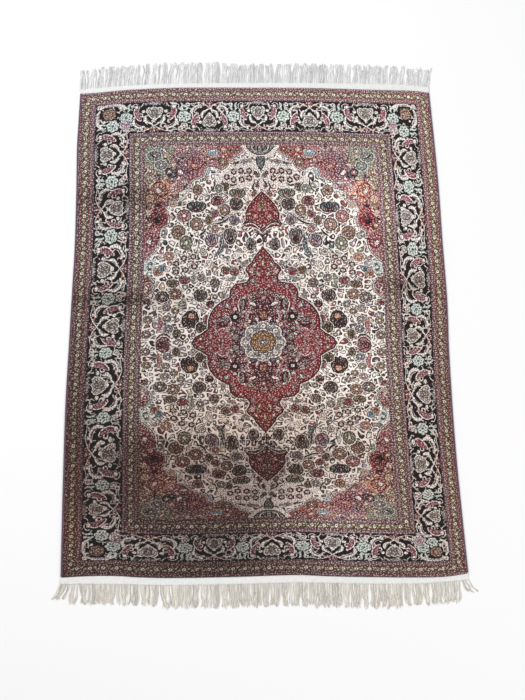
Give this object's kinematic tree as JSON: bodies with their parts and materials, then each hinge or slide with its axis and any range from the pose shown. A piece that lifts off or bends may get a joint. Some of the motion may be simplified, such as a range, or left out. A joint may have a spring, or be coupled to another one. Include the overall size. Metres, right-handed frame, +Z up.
{
  "type": "kashmir rug",
  "caption": "Hand-knotted oblong medallion rug lying flat, with overcast side cords and a woven strip and warp fringe at each end.",
  "frame": {"origin": "on the floor under the middle of the whole rug, fringes included", "axes": "+X across the rug to its right side, +Y along it to its far end, +Z up"},
  "size_m": [1.2984, 2.0928, 0.0055],
  "materials": {
    "silk_pile": "knotted silk pile with a soft sheen, patterned in madder red, black, ivory, rose, gold and grey-green",
    "side_yarn": "overcast mauve yarn",
    "warp_cotton": "unbleached off-white cotton, plain woven strip and loose fringe"
  },
  "bodies": {
    "root": {"pile": "silk_pile", "side_cord_left": "side_yarn", "side_cord_right": "side_yarn", "end_far": "warp_cotton", "end_near": "warp_cotton"}
  },
  "joints": []
}
